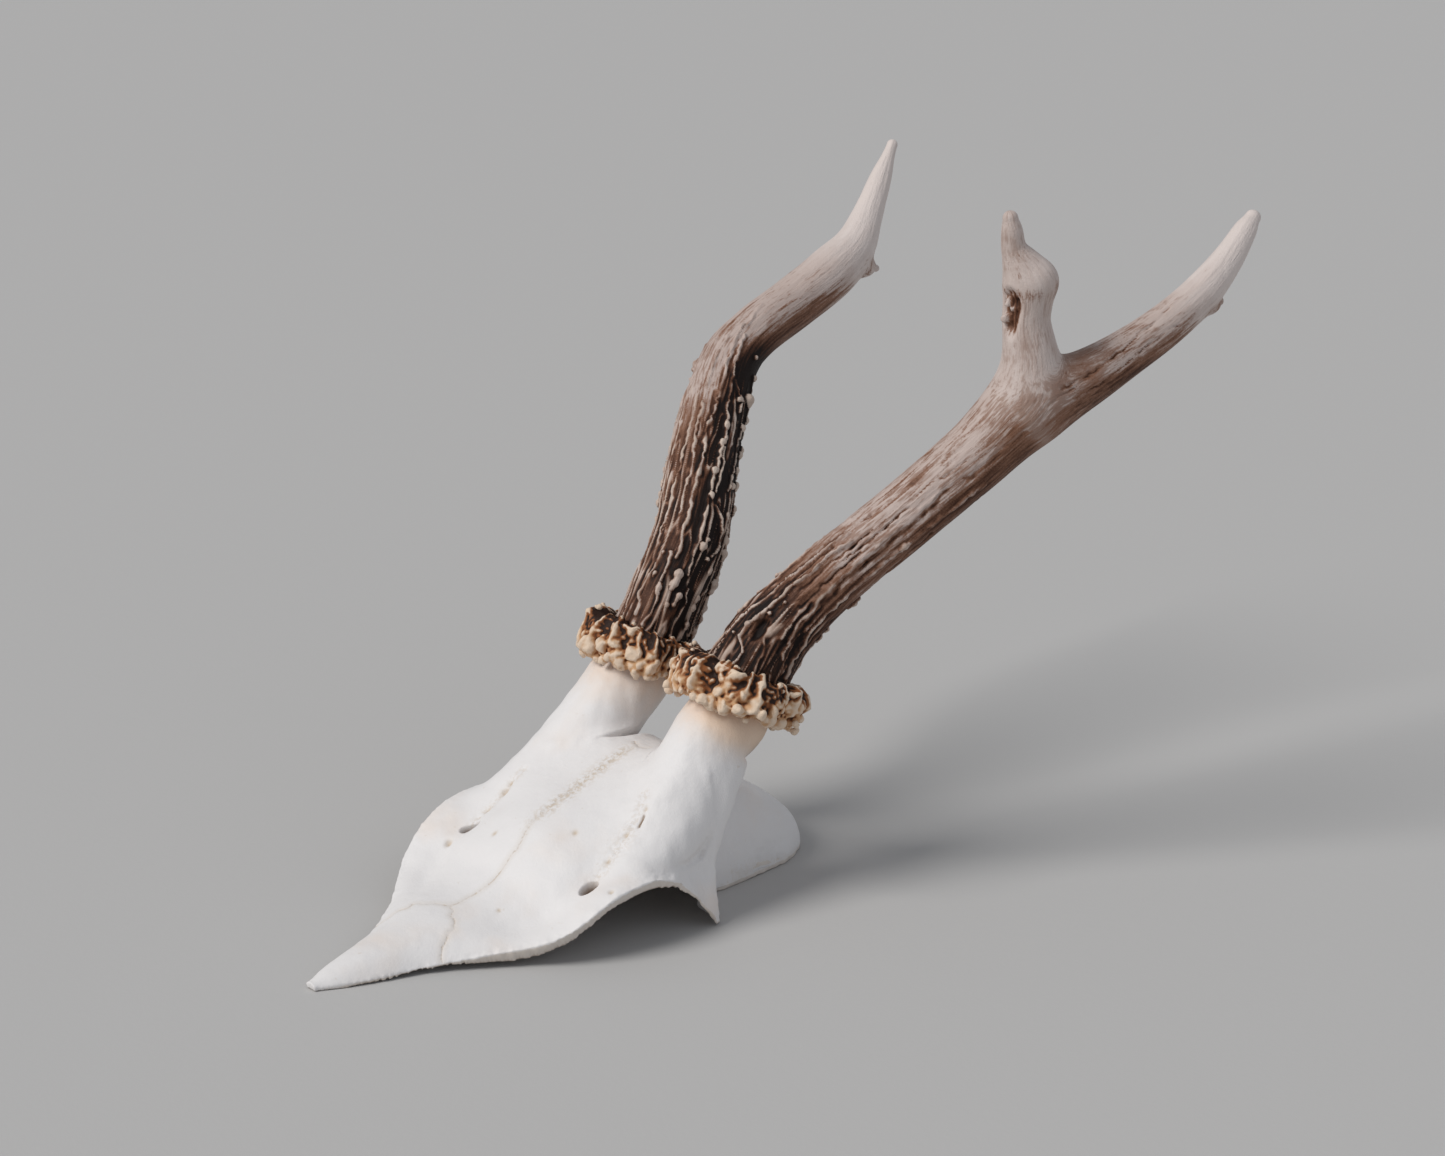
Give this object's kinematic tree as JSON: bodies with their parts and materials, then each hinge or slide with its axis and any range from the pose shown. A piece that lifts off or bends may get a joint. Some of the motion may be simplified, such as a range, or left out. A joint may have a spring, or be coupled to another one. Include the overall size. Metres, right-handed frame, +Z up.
{
  "type": "roebuck skull cap with antlers",
  "caption": "Bleached skull cap of a roebuck with knobbly burrs and a pair of ridged antlers, lying on its underside as a still, life-size display model.",
  "frame": {"origin": "on the floor under the middle of the forehead, on the flat underside, level with the tips of the processes behind the eye sockets", "axes": "+Z up; +Y backwards, from the nose end to the antler tips; +X towards the animal's left"},
  "size_m": [0.1527, 0.3021, 0.2002],
  "materials": {
    "bone": "bleached bone, dry and matt, with warm sutures and pits",
    "burr": "nodular antler burr, cream crests and brown stained hollows",
    "antler": "ridged antler, dark brown at the base and ivory at the polished tips"
  },
  "bodies": {
    "root": {"nasal_bones": "bone", "frontal_bone": "bone", "braincase_roof": "bone", "pedicle_left": "bone", "pedicle_right": "bone", "burr_left": "burr", "burr_right": "burr", "antler_left_lower_beam": "antler", "antler_left_fork": "antler", "antler_left_front_tine": "antler", "antler_left_rear_tine": "antler", "antler_right_lower_beam": "antler", "antler_right_upper_beam": "antler", "antler_right_tip": "antler"}
  },
  "joints": []
}
